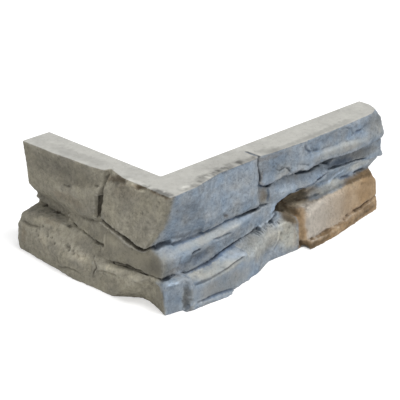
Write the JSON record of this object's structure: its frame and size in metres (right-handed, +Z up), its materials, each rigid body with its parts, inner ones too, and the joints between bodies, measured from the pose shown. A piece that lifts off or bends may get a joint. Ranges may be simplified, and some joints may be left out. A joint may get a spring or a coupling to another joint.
{
  "type": "stone cladding corner piece",
  "caption": "L-shaped outside corner piece of cast stone cladding, with flat backs and a ledge-stone relief on both outer faces.",
  "frame": {"origin": "inside corner of the L on the bed face, where both wall faces meet", "axes": "+Z up from the bed face, +X along the long leg, +Y along the short leg; the relief faces -X and -Y"},
  "size_m": [0.3014, 0.1983, 0.1],
  "materials": {
    "cast_stone": "matt cast stone, mottled taupe, slate blue and tan"
  },
  "bodies": {
    "root": {"corner_stone": "cast_stone"}
  },
  "joints": []
}
